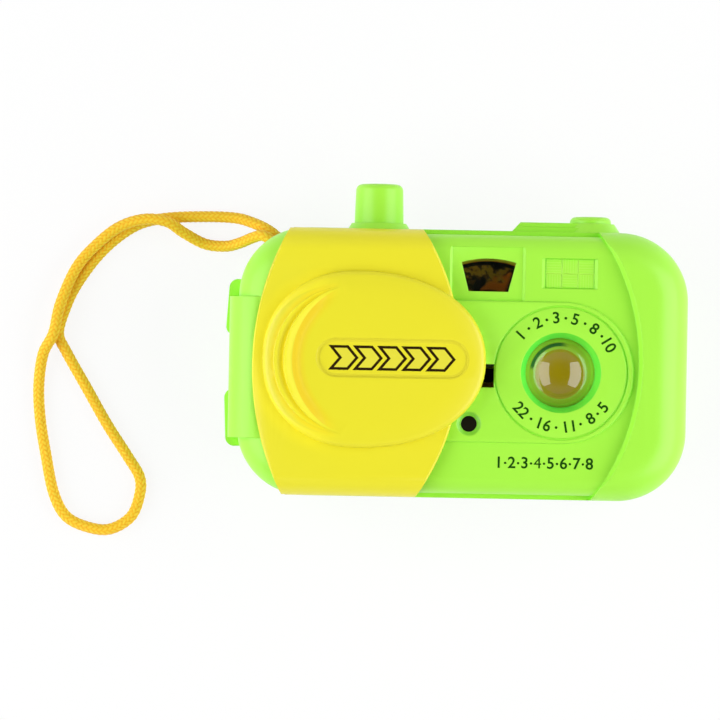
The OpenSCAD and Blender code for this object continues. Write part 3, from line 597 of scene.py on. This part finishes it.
# lens backing: yellow plastic in painted shade in a well, a ring round it and a crescent of painted
# shadow

# painted shade: dark orange-brown for yellow plastic in shadow
YELLOW_IN_PAINTED_SHADE, YELLOW_IN_PAINTED_SHADE_2 = (0.58, 0.385, 0.001), (0.54, 0.36, 0.001)
WELL_DROP = 0.3
WELL_EDGE = (4.55, 4.75)
RING_TONE = (0.48, 0.72, 0.04)
RIM_EDGE = (6.0, 6.5)
RIM_TONE = (0.50, 0.92, 0.045)
SHADOW_REACH = (4.95, 5.2, 5.85, 6.1)
# directions from the lens's middle, in radians
SHADOW_TURN = (1.2, 1.6, 2.9, 3.1)
SHADOW_TONE = (0.025, 0.10, 0.035)


def backing_tones(look, place, tone):
    """Yellow in painted shade in the well, and olive green on the ring round it, with a crescent of
    painted shadow.
    """
    well, _, _ = axis_distance(look, place, LENS_X, LENS_Y - WELL_DROP)
    far, dx, dy = axis_distance(look, place, LENS_X, LENS_Y)
    tone = look.mix(look.step(well, *WELL_EDGE), tone, RING_TONE)
    tone = look.mix(look.step(far, *RIM_EDGE), tone, RIM_TONE)
    arc = look.between(far, *SHADOW_REACH)
    turn = look.between(look.math("ARCTAN2", dy, dx), *SHADOW_TURN)
    return look.mix(look.math("MULTIPLY", arc, turn), tone, SHADOW_TONE)


# film: a ring of pictures about the wheel's axis

WHEEL_X, WHEEL_Y = 6.5, 3.6
PICTURES = 8
PICTURE_SCALE, WARM_SCALE = 300.0, 150.0
PICTURE_TONES = (
    (0.40, (0.008, 0.007, 0.002)), (0.46, (0.09, 0.045, 0.005)), (0.50, (0.36, 0.20, 0.012)),
    (0.58, (0.27, 0.14, 0.008)), (0.63, (0.05, 0.018, 0.004)),
)
WARM_EDGE = (0.52, 0.60)
WARM_TONE = (0.55, 0.14, 0.008)
# shares of a picture's width, from its middle
SIDE_MARGIN = (0.34, 0.42)
OUTER_MARGIN, INNER_MARGIN = (19.4, 19.8), (14.2, 13.4)
MARGIN_TONE = (0.006, 0.007, 0.004)
INNER_BAND = (7.7, 7.9, 12.1, 12.3)
OUTER_BAND = (20.4, 20.6)
BAND_TONE = (1.0, 0.42, 0.015)
FILM_ROUGHNESS = (0.42, 0.54)


def film_material():
    """Ring of small generic landscapes in dark margins, with an orange band on either side."""
    look = Shading("film_prints")
    place = look.place()
    far, dx, dy = axis_distance(look, place, WHEEL_X, WHEEL_Y)
    turn = look.math("DIVIDE", look.math("ARCTAN2", dx, dy), 2 * math.pi / PICTURES)
    part = look.math("ABSOLUTE", look.math("WRAP", turn, 0.5, -0.5))
    hills = look.noise(place, PICTURE_SCALE, RICH_DETAIL)
    picture = look.ramp(hills, PICTURE_TONES)
    warm = look.step(look.noise(place, WARM_SCALE), *WARM_EDGE)
    picture = look.mix(warm, picture, WARM_TONE)
    margin = look.math("MAXIMUM", look.step(part, *SIDE_MARGIN), look.step(far, *OUTER_MARGIN))
    margin = look.math("MAXIMUM", margin, look.step(far, *INNER_MARGIN))
    picture = look.mix(margin, picture, MARGIN_TONE)
    band = look.math("MAXIMUM", look.between(far, *INNER_BAND), look.step(far, *OUTER_BAND))
    look.join(look.mix(band, picture, BAND_TONE), "Base Color")
    look.join(look.spread(hills, *FILM_ROUGHNESS), "Roughness")
    look.set(Specular_IOR_Level=0.1)
    return look.material


# clear plastic

CLEAR_IOR = 1.49
CLEAR_CLOUD_SCALE = 90.0
CLEAR_SHADE = 0.985
CLEAR_PASSES = 0.94
CLEAR_UNEVEN = 0.02


def glass(name, colour, roughness, **sockets):
    """Clear plastic that lets lamp light through to what is behind it."""
    look = Shading(name)
    place = look.place()
    cloud = look.noise(place, CLEAR_CLOUD_SCALE)
    look.join(look.mix(cloud, colour, [CLEAR_SHADE * c for c in colour]), "Base Color")
    look.join(look.spread(cloud, roughness, roughness + CLEAR_UNEVEN), "Roughness")
    look.set(Transmission_Weight=1.0, IOR=CLEAR_IOR, **sockets)
    path = look.add("ShaderNodeLightPath").outputs["Is Shadow Ray"]
    passes = [CLEAR_PASSES * c for c in colour]
    through = look.add("ShaderNodeBsdfTransparent", {"Color": (*passes, 1)})
    look.blend(path, through)
    return look.material


# materials of the CAD parts

BLACK, BLACK_SHADE = (0.007, 0.006, 0.002), (0.010, 0.009, 0.004)
STEEL, STEEL_SHADE = (0.62, 0.62, 0.64), (0.50, 0.50, 0.52)
DOME_TINT, PANE_TINT = (0.94, 0.98, 0.95), (0.96, 0.98, 0.97)

green = plastic("green_plastic", GREEN, GREEN_SHADE)
green_front = plastic(
    "green_front", GREEN, GREEN_SHADE, tint=front_painted_light_and_shade, dull=dull_hole, relief=flash_ribs
)
yellow = plastic("yellow_plastic", YELLOW, YELLOW_SHADE)
yellow_cover = plastic("yellow_cover", YELLOW, YELLOW_SHADE, tint=cover_painted_light_and_shade, dull=dull_hollows)
# painted shade: the backing's yellow plastic coloured as it looks in shadow
painted_shade_backing = plastic(
    "lens_backing", YELLOW_IN_PAINTED_SHADE, YELLOW_IN_PAINTED_SHADE_2, roughness=0.6, tint=backing_tones, Specular_IOR_Level=0.08
)
black = plastic("black_plastic", BLACK, BLACK_SHADE, roughness=0.6, Specular_IOR_Level=0.08)
steel = plastic("zinc_steel", STEEL, STEEL_SHADE, roughness=0.3, Metallic=1.0)
film = film_material()
dome = glass("clear_dome", DOME_TINT, roughness=0.04, Coat_Weight=1.0, Coat_Roughness=0.03)
pane = glass("clear_pane", PANE_TINT, roughness=0.03)

for material, names in (
    (green, ("rear_shell", "shutter_plunger")),
    (green_front, ("front_shell",)),
    (yellow, ("cover_clip", "advance_pawl", "picture_wheel")),
    (yellow_cover, ("lens_cover",)),
    (painted_shade_backing, ("lens_backing",)),
    (black, ("sensor_plug", "light_tunnel")),
    (steel, ("cover_screw", "return_spring", "wheel_screw", "wheel_washer", "case_screws")),
    (dome, ("front_lens",)),
    (pane, ("window_pane", "eyepiece_lens")),
    (film, ("picture_film",)),
):
    for name in names:
        nodes[name].data.materials.clear()
        nodes[name].data.materials.append(material)


# return spring: a coil of round wire in the box of the CAD spring

WIRE_R = 0.35
WIRE_SIDES = 12
SPRING_TURNS = 6
SPRING_PARTS = 24


def coil_spring():
    """Round wire in a coil that fills the box of the CAD spring."""
    low, high = (Vector(corner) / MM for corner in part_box("return_spring"))
    middle = (low + high) / 2
    reach = (high.x - low.x) / 2 - WIRE_R
    length = high.y - low.y
    count = SPRING_TURNS * SPRING_PARTS
    points = []
    for k in range(count + 1):
        a = 2 * math.pi * k / SPRING_PARTS
        y = low.y + WIRE_R + (length - 2 * WIRE_R) * k / count
        points.append(Vector((middle.x + reach * math.cos(a), y, middle.z + reach * math.sin(a))))
    thing = braided_tube("coil_spring", points, WIRE_R, 0.0, WIRE_SIDES)
    thing.data.materials.append(steel)
    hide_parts("return_spring")
    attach(thing, "body")
    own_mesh(thing)


coil_spring()


# softened edges of the mouldings

WELD_GAP = 0.002
ROUND_W = 0.3
ROUND_SEGMENTS = 3
SHARP_ANGLE = math.radians(28)
SHELL_FLAT, COVER_FLAT = math.radians(0.3), math.radians(0.05)


def soften(node, flat_angle):
    """Joins the faces that are flat to within an angle, and rounds the sharp edges between the rest."""
    thing = nodes[node]
    for polygon in thing.data.polygons:
        polygon.use_smooth = True
    weld = thing.modifiers.new("weld", "WELD")
    weld.merge_threshold = WELD_GAP * MM
    flat = thing.modifiers.new("flat", "DECIMATE")
    flat.decimate_type = "DISSOLVE"
    flat.angle_limit = flat_angle
    bevel = thing.modifiers.new("bevel", "BEVEL")
    bevel.width = ROUND_W * MM
    bevel.segments = ROUND_SEGMENTS
    bevel.limit_method = "ANGLE"
    bevel.angle_limit = SHARP_ANGLE
    bevel.harden_normals = True


for name in ("front_shell", "rear_shell", "shutter_plunger"):
    soften(name, SHELL_FLAT)
soften("lens_cover", COVER_FLAT)


# generic prints: thin layers of ink on the faces that carry them

# half of the ink's thickness, and how much lower the fills lie than the lines
INK_HALF = 0.03
FILL_DROP = 0.012
INK_SCALE = 900.0
INK_STRENGTH, INK_DEPTH = 0.05, 0.1
INK_ROUGHNESS = (0.38, 0.55)
DARK_GREEN, DARK_GREEN_SHADE = (0.008, 0.070, 0.003), (0.012, 0.085, 0.004)
BROWN, BROWN_SHADE = (0.022, 0.011, 0.002), (0.030, 0.015, 0.003)
PALE, PALE_SHADE = (0.84, 0.78, 0.06), (0.81, 0.75, 0.05)
ABOVE_TOY = 100
DOT_SIDES = 16
FIGURE_SIZE = 3.7
FIGURE_WEIGHT = 0.016
FIGURE_PARTS = 5
DIAL_R = 12.7
# figures round the lens, and their directions in degrees; no dot stands in a wider gap than DIAL_GAP
DIAL_FIGURES = (
    ("1", 138), ("2", 116), ("3", 96), ("5", 76), ("8", 54), ("10", 32),
    ("22", 224), ("16", 252), ("11", 280), ("8", 304), ("5", 322),
)
DIAL_GAP = 30
DIAL_DOT_R = 0.32
ROW_X, ROW_Y, ROW_PITCH, ROW_COUNT = 9.6, -22.7, 3.0, 8
ROW_MIDDLE_X = 20
ROW_DOT_R = 0.28
ARROW_X, ARROW_PITCH, ARROW_COUNT = -28.0, 5.6, 5
ARROW_W, ARROW_HALF_H, ARROW_POINT, ARROW_STROKE = 4.6, 2.85, 2.4, 0.62


def surface_z(node, x, y):
    """Height of a part's front at a point."""
    hit, point, _, _ = nodes[node].ray_cast(Vector((x, y, ABOVE_TOY)) * MM, Vector((0, 0, -1)))
    if not hit:
        raise ValueError("no face of %s at %.1f, %.1f" % (node, x, y))
    return point.z / MM


def ink_material(name, colour, shade):
    look = Shading(name)
    place = look.place()
    cover = look.noise(place, INK_SCALE, RICH_DETAIL)
    look.join(look.mix(cover, colour, shade), "Base Color")
    look.join(look.spread(cover, *INK_ROUGHNESS), "Roughness")
    look.bump(cover, INK_STRENGTH, INK_DEPTH * MM)
    look.set(Specular_IOR_Level=0.06)
    return look.material


def lay_loop(mesh, points, z):
    return [mesh.verts.new(Vector((x, y, z)) * MM) for x, y in points]


def lay_polygon(mesh, points, z):
    """Flat plate of ink: the outline is given anticlockwise."""
    low = lay_loop(mesh, points, z - INK_HALF)
    high = lay_loop(mesh, points, z + INK_HALF)
    mesh.faces.new(high)
    mesh.faces.new(low[::-1])
    for k in range(len(points)):
        n = (k + 1) % len(points)
        mesh.faces.new((low[k], low[n], high[n], high[k]))


def lay_dot(mesh, x, y, radius, z):
    turns = [2 * math.pi * k / DOT_SIDES for k in range(DOT_SIDES)]
    lay_polygon(mesh, [(x + radius * math.cos(a), y + radius * math.sin(a)) for a in turns], z)


def lay_frame(mesh, outer, inner, z):
    """Outline of ink between two loops with as many points."""
    out_low, out_high, in_low, in_high = (
        lay_loop(mesh, loop, z + h) for loop in (outer, inner) for h in (-INK_HALF, INK_HALF)
    )
    for k in range(len(outer)):
        n = (k + 1) % len(outer)
        mesh.faces.new((out_high[k], out_high[n], in_high[n], in_high[k]))
        mesh.faces.new((out_low[k], out_low[n], out_high[n], out_high[k]))
        mesh.faces.new((in_high[k], in_high[n], in_low[n], in_low[k]))


def lay_numeral(mesh, text, x, y, z, turn):
    """Plain figure, centred on a point and turned about it."""
    font = bpy.data.curves.new("numeral", "FONT")
    font.body = text
    font.size = FIGURE_SIZE * MM
    font.align_x = "CENTER"
    font.align_y = "CENTER"
    font.extrude = INK_HALF * MM
    # the 4 keeps its plain weight, and the other figures are made a little bolder
    font.offset = 0.0 if "4" in text else FIGURE_WEIGHT * FIGURE_SIZE * MM
    font.resolution_u = FIGURE_PARTS
    holder = bpy.data.objects.new("numeral", font)
    scene.collection.objects.link(holder)
    shown = holder.evaluated_get(bpy.context.evaluated_depsgraph_get())
    data = bpy.data.meshes.new_from_object(shown)
    data.transform(Matrix.Translation(Vector((x, y, z)) * MM) @ Matrix.Rotation(turn, 4, "Z"))
    mesh.from_mesh(data)
    bpy.data.objects.remove(holder)
    bpy.data.curves.remove(font)
    bpy.data.meshes.remove(data)


def finish_print(mesh, name, material, body):
    thing = keep(mesh, name, material)
    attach(thing, body)


dark_green = ink_material("ink_dark_green", DARK_GREEN, DARK_GREEN_SHADE)
brown = ink_material("ink_brown", BROWN, BROWN_SHADE)
pale = ink_material("ink_pale_yellow", PALE, PALE_SHADE)


def on_dial(a):
    """Point on the dial in a direction from the lens's middle."""
    return LENS_X + DIAL_R * math.cos(a), LENS_Y + DIAL_R * math.sin(a)


def lens_ring_print():
    """Plain figures round the lens, as on a distance dial, with dots between them."""
    mesh = bmesh.new()
    z = surface_z("front_shell", LENS_X + DIAL_R, LENS_Y)
    for text, degrees in DIAL_FIGURES:
        a = math.radians(degrees)
        turn = a - math.pi / 2 if degrees < 180 else a + math.pi / 2
        lay_numeral(mesh, text, *on_dial(a), z, turn)
    for (_, before), (_, after) in zip(DIAL_FIGURES, DIAL_FIGURES[1:]):
        if abs(before - after) <= DIAL_GAP:
            lay_dot(mesh, *on_dial(math.radians((before + after) / 2)), DIAL_DOT_R, z)
    finish_print(mesh, "lens_ring_scale", dark_green, "body")


def counter_print():
    """Row of plain figures under the lens, with a dot between each two."""
    mesh = bmesh.new()
    z = surface_z("front_shell", ROW_MIDDLE_X, ROW_Y)
    for k in range(ROW_COUNT):
        x = ROW_X + ROW_PITCH * k
        lay_numeral(mesh, str(k + 1), x, ROW_Y, z, 0)
        if k < ROW_COUNT - 1:
            lay_dot(mesh, x + ROW_PITCH / 2, ROW_Y, ROW_DOT_R, z)
    finish_print(mesh, "counter_row", dark_green, "body")


def chevron(x, inset):
    """Outline of an arrow on the field's middle line, drawn in by inset."""
    half = ARROW_W / 2 - inset * math.hypot(1, ARROW_POINT / ARROW_HALF_H)
    h = ARROW_HALF_H - inset
    lean = ARROW_POINT * inset / ARROW_HALF_H
    points = (
        (lean - half, -h), (lean + half, -h), (ARROW_POINT + half, 0),
        (lean + half, h), (lean - half, h), (ARROW_POINT - half, 0),
    )
    return [(x + px, FIELD_Y + py) for px, py in points]


def slide_arrows():
    """Outlined chevrons in the cover's field, which point the way it slides."""
    lines, fills = bmesh.new(), bmesh.new()
    z = surface_z("lens_cover", FIELD_X, FIELD_Y)
    for k in range(ARROW_COUNT):
        x = ARROW_X + ARROW_PITCH * k
        inner = chevron(x, ARROW_STROKE)
        lay_frame(lines, chevron(x, 0), inner, z)
        lay_polygon(fills, inner, z - FILL_DROP)
    finish_print(lines, "slide_arrow_lines", brown, "cover")
    finish_print(fills, "slide_arrow_fills", pale, "cover")


lens_ring_print()
counter_print()
slide_arrows()


# studio: a white floor, a sky that is dim overhead, and two soft boxes

FLOOR_SIZE = 6
FLOOR_Z = -0.0001
FLOOR_TONE = (0.97, 0.97, 0.97, 1)
FLOOR_WHITE = 0.88
SKY_STRENGTH = {"From Min": 0.6, "From Max": 0.95, "To Min": 0.35, "To Max": 0.01}
BOX_SIZE = (1.0, 0.7)
BOX_AIM = Vector((0, 0, 0.02))
# names, places and watts
SOFT_BOXES = (("left_box", (-0.62, -0.05, 0.40), 5.6), ("right_box", (0.62, -0.05, 0.40), 6.0))

bpy.ops.mesh.primitive_plane_add(size=FLOOR_SIZE, location=(0, 0, FLOOR_Z))
floor = bpy.context.object
floor.name = "floor"


def floor_material():
    """Pale floor that keeps shadows, and that camera, gloss and glass see as white."""
    look = Shading("floor")
    look.set(Base_Color=FLOOR_TONE, Roughness=0.9)
    path = look.add("ShaderNodeLightPath").outputs
    seen = look.math("MAXIMUM", path["Is Camera Ray"], path["Is Glossy Ray"])
    seen = look.math("MAXIMUM", seen, path["Is Transmission Ray"])
    look.blend(look.math("MULTIPLY", seen, FLOOR_WHITE), look.add("ShaderNodeEmission"))
    return look.material


floor.data.materials.append(floor_material())

world = bpy.data.worlds.new("studio")
scene.world = world
world.use_nodes = True
sky_tree = world.node_tree
sky = sky_tree.nodes["Background"]
sky.inputs["Color"].default_value = (1, 1, 1, 1)
direction = sky_tree.nodes.new("ShaderNodeTexCoord")
height = sky_tree.nodes.new("ShaderNodeSeparateXYZ")
dim = sky_tree.nodes.new("ShaderNodeMapRange")
for socket, value in SKY_STRENGTH.items():
    dim.inputs[socket].default_value = value
sky_tree.links.new(direction.outputs["Generated"], height.inputs[0])
sky_tree.links.new(height.outputs["Z"], dim.inputs["Value"])
sky_tree.links.new(dim.outputs["Result"], sky.inputs["Strength"])


def softbox(name, place, watts):
    """Wide lamp that looks at the toy."""
    light = bpy.data.lights.new(name, "AREA")
    light.shape = "RECTANGLE"
    light.size, light.size_y = BOX_SIZE
    light.energy = watts
    lamp = bpy.data.objects.new(name, light)
    lamp.location = place
    lamp.rotation_euler = (BOX_AIM - Vector(place)).to_track_quat("-Z", "Y").to_euler()
    scene.collection.objects.link(lamp)


for box in SOFT_BOXES:
    softbox(*box)
